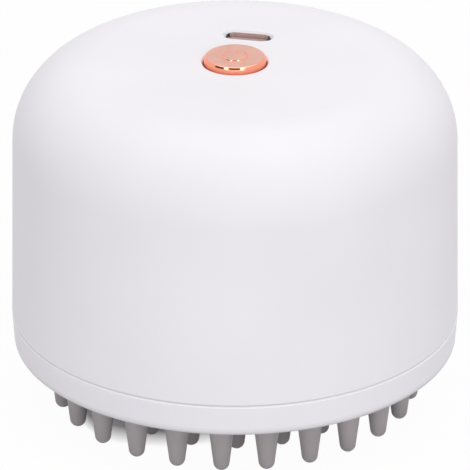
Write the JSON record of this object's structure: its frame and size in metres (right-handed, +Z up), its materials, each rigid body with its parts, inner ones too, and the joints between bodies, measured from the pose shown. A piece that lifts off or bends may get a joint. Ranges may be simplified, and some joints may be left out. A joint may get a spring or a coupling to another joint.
{
  "type": "electric pet massage brush",
  "caption": "Round hand-held vibrating brush: white domed drum with a rose-gold power button and a charging port on top, over concentric rings of soft silicone pins.",
  "frame": {"origin": "on the floor under the pin tips, on the axis of the drum", "axes": "+Z up along the drum's axis, +Y from the power button towards the charging port"},
  "size_m": [0.0902, 0.0902, 0.0739],
  "materials": {
    "housing_plastic": "satin white",
    "screw_steel": "zinc plated",
    "pad_silicone": "matt silicone",
    "inner_plastic": "plain moulded",
    "button_plating": "satin rose gold",
    "black_plastic": "plain moulded",
    "port_metal": "drawn",
    "circuit_board": "solder mask",
    "can_aluminium": "drawn",
    "cell_foil": "laminated foil",
    "foam": "open foam",
    "connector_plastic": "plain moulded",
    "lead_insulation": "smooth",
    "black_rubber": "matt",
    "can_steel": "zinc plated",
    "bronze": "sintered",
    "ferrite": "ground",
    "copper": "rolled",
    "ground_steel": "ground",
    "lamination_steel": "stacked sheets"
  },
  "bodies": {
    "root": {"top_housing": "housing_plastic", "base_housing": "housing_plastic", "housing_screws": "screw_steel", "brush_pad": "pad_silicone", "pad_plate": "inner_plastic", "switch_body": "black_plastic", "port_shell": "port_metal", "port_tongue": "black_plastic", "main_board": "circuit_board", "board_screws": "screw_steel", "charging_chip": "black_plastic", "control_chip": "black_plastic", "motor_transistor": "black_plastic", "filter_capacitor": "can_aluminium", "battery_cell": "cell_foil", "battery_board": "circuit_board", "battery_foam": "foam", "battery_socket": "connector_plastic", "battery_plug": "connector_plastic", "battery_leads": "lead_insulation", "chassis": "inner_plastic", "chassis_screws": "screw_steel", "motor_sleeve": "black_rubber", "motor_clamp": "inner_plastic", "clamp_screws": "screw_steel", "motor_can": "can_steel", "motor_bush": "bronze", "motor_end_cap": "black_plastic", "motor_magnets": "ferrite", "motor_brushes": "copper", "motor_terminals": "copper", "motor_leads": "lead_insulation"},
    "button": {"power_button": "button_plating", "switch_plunger": "black_plastic"},
    "rotor": {"motor_shaft": "ground_steel", "motor_armature": "lamination_steel", "motor_windings": "copper", "motor_commutator": "copper", "eccentric_weight": "ground_steel"}
  },
  "joints": [
    {"name": "button_press", "type": "slide", "parent": "root", "child": "button", "axis": [0, 0, -1], "range_m": [0, 0.0003], "stiffness_N_per_m": 2000},
    {"name": "rotor_spin", "type": "hinge", "parent": "root", "child": "rotor", "pos_m": [0, 0, 0.0405], "axis": [0, 0, 1], "continuous": true}
  ]
}
